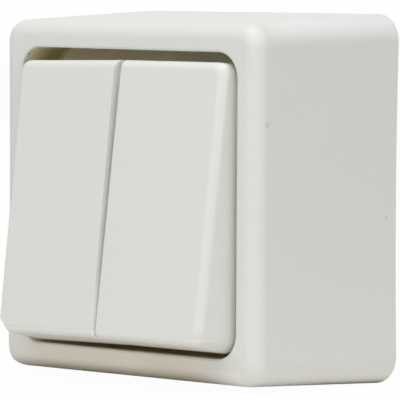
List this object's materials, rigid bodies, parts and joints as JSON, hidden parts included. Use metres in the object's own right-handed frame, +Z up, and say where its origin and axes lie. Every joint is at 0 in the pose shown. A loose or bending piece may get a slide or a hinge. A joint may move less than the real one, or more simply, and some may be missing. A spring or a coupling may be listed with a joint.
{
  "type": "surface-mounted two-gang rocker light switch",
  "caption": "Square surface-mounted light switch in cream-white plastic, with paired tilting rockers in a deep rounded housing, over a lever and blade contact mechanism.",
  "frame": {"origin": "centre of the flat back face that lies on the wall", "axes": "+Y into the wall, +Z up, +X to the right as seen from the room; the rockers face -Y"},
  "size_m": [0.0698, 0.0466, 0.07],
  "materials": {
    "cover_white": "satin moulded cream-white thermoset",
    "rocker_white": "satin moulded cream-white plastic",
    "base_grey": "dull moulded light grey plastic",
    "mechanism_ivory": "natural ivory low-friction plastic",
    "brass": "rolled and punched brass strip",
    "contact_silver": "riveted silver alloy",
    "zinc_steel": "zinc-plated steel"
  },
  "bodies": {
    "housing": {"housing_cover": "cover_white", "wall_base": "base_grey", "bearing_bridge": "mechanism_ivory", "cover_screws": "zinc_steel", "bridge_screws": "zinc_steel", "common_strip": "brass", "left_contact_strip": "brass", "right_contact_strip": "brass", "left_fixed_tip": "contact_silver", "right_fixed_tip": "contact_silver", "common_clamp": "zinc_steel", "left_clamp": "zinc_steel", "right_clamp": "zinc_steel", "terminal_screws": "zinc_steel"},
    "left_rocker": {"left_rocker": "rocker_white", "left_lever": "mechanism_ivory", "left_spring": "zinc_steel"},
    "left_plunger": {"left_plunger": "mechanism_ivory"},
    "left_blade": {"left_contact_blade": "brass", "left_moving_tip": "contact_silver"},
    "right_rocker": {"right_rocker": "rocker_white", "right_lever": "mechanism_ivory", "right_spring": "zinc_steel"},
    "right_plunger": {"right_plunger": "mechanism_ivory"},
    "right_blade": {"right_contact_blade": "brass", "right_moving_tip": "contact_silver"}
  },
  "joints": [
    {"name": "left_rocker_tilt", "type": "hinge", "parent": "housing", "child": "left_rocker", "pos_m": [-0.01375, -0.037, -0.00034], "axis": [1, 0, 0], "range_deg": [0, 15.2]},
    {"name": "left_plunger_slide", "type": "slide", "parent": "left_rocker", "child": "left_plunger", "axis": [0, -0.9912, 0.1323], "range_m": [0, 0.0006], "stiffness_N_per_m": 400, "springref_m": -0.004, "deforming": ["left_spring"]},
    {"name": "left_blade_tilt", "type": "hinge", "parent": "housing", "child": "left_blade", "pos_m": [-0.01375, -0.01869, -0.00034], "axis": [1, 0, 0], "range_deg": [-15.2, 0]},
    {"name": "right_rocker_tilt", "type": "hinge", "parent": "housing", "child": "right_rocker", "pos_m": [0.01375, -0.037, -0.00034], "axis": [1, 0, 0], "range_deg": [0, 15.2]},
    {"name": "right_plunger_slide", "type": "slide", "parent": "right_rocker", "child": "right_plunger", "axis": [0, -0.9912, 0.1323], "range_m": [0, 0.0006], "stiffness_N_per_m": 400, "springref_m": -0.004, "deforming": ["right_spring"]},
    {"name": "right_blade_tilt", "type": "hinge", "parent": "housing", "child": "right_blade", "pos_m": [0.01375, -0.01869, -0.00034], "axis": [1, 0, 0], "range_deg": [-15.2, 0]}
  ],
  "couplings": [
    {"joint": "left_blade_tilt", "follows": "left_rocker_tilt", "ratio": -1},
    {"joint": "right_blade_tilt", "follows": "right_rocker_tilt", "ratio": -1}
  ]
}
